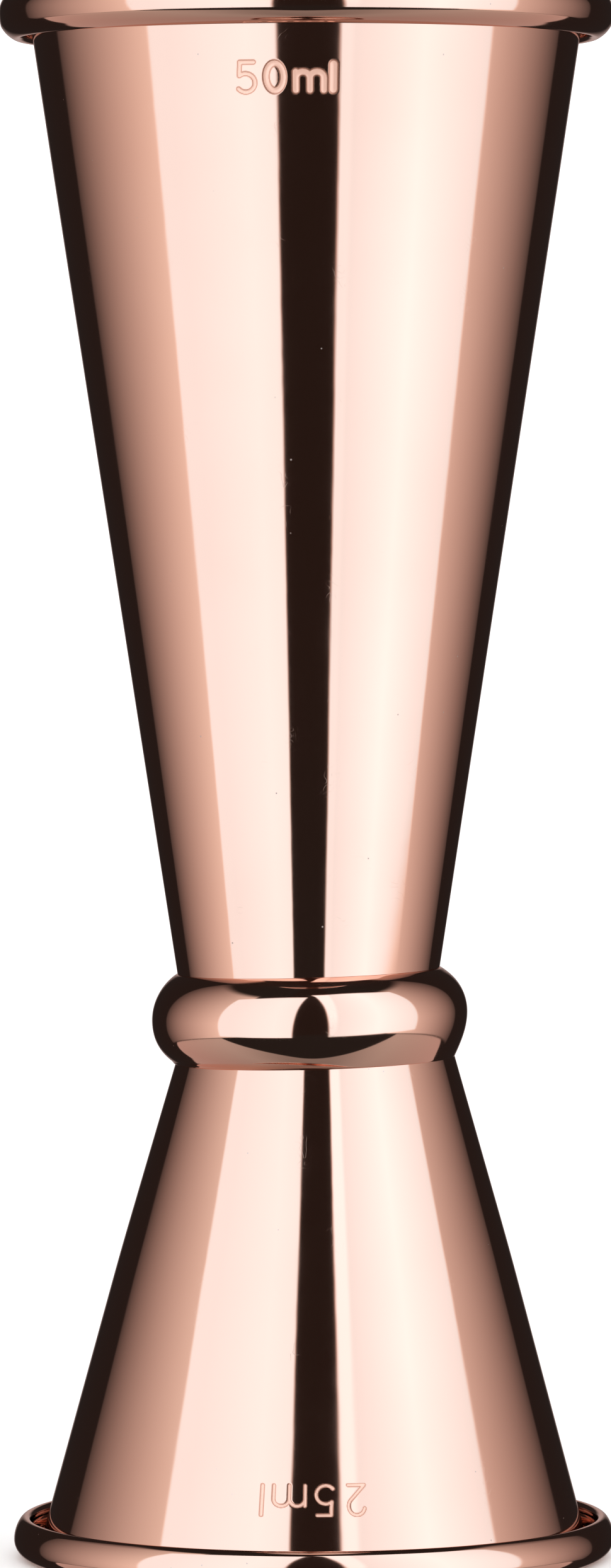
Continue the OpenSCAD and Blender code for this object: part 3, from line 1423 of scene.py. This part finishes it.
    def _backdrop(self, azimuth: Value, elevation: Value) -> Value:
        """Light the white behind, and a soft lamp straight overhead.

        Args:
            azimuth: Angle to the right of the camera.
            elevation: Angle above level.

        Returns:
            Brightness of the brighter one.
        """
        level = 1.0 - abs(elevation - self.back_height).ease(*self.back_fade)
        behind = abs(azimuth).ease(*self.back_span) * level * self.back_level
        return behind.over(elevation.ease(*self.overhead_span) * self.overhead_level)

    def _lay_floor(self) -> None:
        """A wide floor just under the rim that the jigger stands on, out of the metal's sight."""
        half = self.floor_size / 2
        corners = [(-half, -half), (half, -half), (half, half), (-half, half)]
        mesh = bpy.data.meshes.new("floor")
        mesh.from_pydata([(x, y, -self.floor_drop) for x, y in corners], [], [(0, 1, 2, 3)])
        mesh.materials.append(PaleFloor().material())
        floor = bpy.data.objects.new("floor", mesh)
        floor.visible_glossy = False
        bpy.context.scene.collection.objects.link(floor)


@dataclass(frozen=True)
class Viewpoint:
    """A long lens in front of the jigger, a little above its middle and looking slightly down."""

    lens_mm: float = 188.1
    sensor_mm: float = 36.0
    distance: float = 611.0 * MM
    aside: float = -0.12 * MM
    height: float = 79.3 * MM
    down: float = 2.02
    roll: float = 0.12
    sight: Span = (0.01, 20.0)

    def build(self) -> None:
        """Make the camera and use it."""
        data = bpy.data.cameras.new("camera")
        data.lens = self.lens_mm
        data.sensor_width = self.sensor_mm
        data.clip_start, data.clip_end = self.sight
        camera = bpy.data.objects.new("camera", data)
        camera.rotation_mode = "XYZ"
        camera.location = (self.aside, -self.distance, self.height)
        camera.rotation_euler = (math.radians(90.0 - self.down), math.radians(self.roll), 0.0)
        bpy.context.scene.collection.objects.link(camera)
        bpy.context.scene.camera = camera


def large_cup() -> Cup:
    """Size the 50 ml cup, which opens upwards.

    Returns:
        The cup.
    """
    mark = CapacityMark(
        letters=(
            Letter(Glyph.FIVE, 0.34 * MM),
            Letter(Glyph.ZERO, 0.52 * MM, 0.38 * MM),
            Letter(Glyph.M, 0.56 * MM, 0.35 * MM),
            Letter(Glyph.L, 0.70 * MM, 0.05 * MM),
        ),
        height=2.50 * MM,
        from_rim=7.40 * MM,
        aside=-1.44 * MM,
    )
    return Cup(
        node="large_cup",
        facing=Facing.UP,
        base_d=17.9 * MM,
        line_drop=14.4 * MM,
        kick=0.03 * MM,
        line_blend=0.8 * MM,
        roll_w=3.0 * MM,
        roll_h=1.65 * MM,
        hook=((3.9 * MM, 13.75), (0.62 * MM, 30.75), (2.25 * MM, 62.7)),
        mark=mark,
    )


def small_cup() -> Cup:
    """Size the 25 ml cup, which the jigger stands on.

    Returns:
        The cup.
    """
    mark = CapacityMark(
        letters=(
            Letter(Glyph.TWO, 0.25 * MM),
            Letter(Glyph.FIVE, 0.27 * MM, 0.77 * MM),
            Letter(Glyph.M, 0.27 * MM, 0.55 * MM),
            Letter(Glyph.L, 0.32 * MM, 0.55 * MM),
        ),
        height=2.45 * MM,
        from_rim=6.42 * MM,
        aside=-0.10 * MM,
    )
    return Cup(
        node="small_cup",
        facing=Facing.DOWN,
        base_d=18.4 * MM,
        line_drop=22.7 * MM,
        kick=0.18 * MM,
        line_blend=2.5 * MM,
        roll_w=2.85 * MM,
        roll_h=1.35 * MM,
        hook=((2.53 * MM, 33.0), (0.9 * MM, 56.4)),
        mark=mark,
        aside=0.34 * MM,
        lean=0.0066,
    )


def main() -> None:
    """Build the jigger, its studio and the camera."""
    logging.basicConfig(level=logging.INFO, format="%(name)s: %(message)s")
    bpy.context.scene.view_settings.view_transform = "Standard"
    Viewpoint().build()

    plate = CopperPlate("copper_plate").material()
    large, small = large_cup(), small_cup()
    band = WaistBand(large, small)
    for part in (large, small, band):
        part.build(plate)
    HiddenJoints().dress(band)
    Studio().build()


if __name__ == "__main__":
    main()
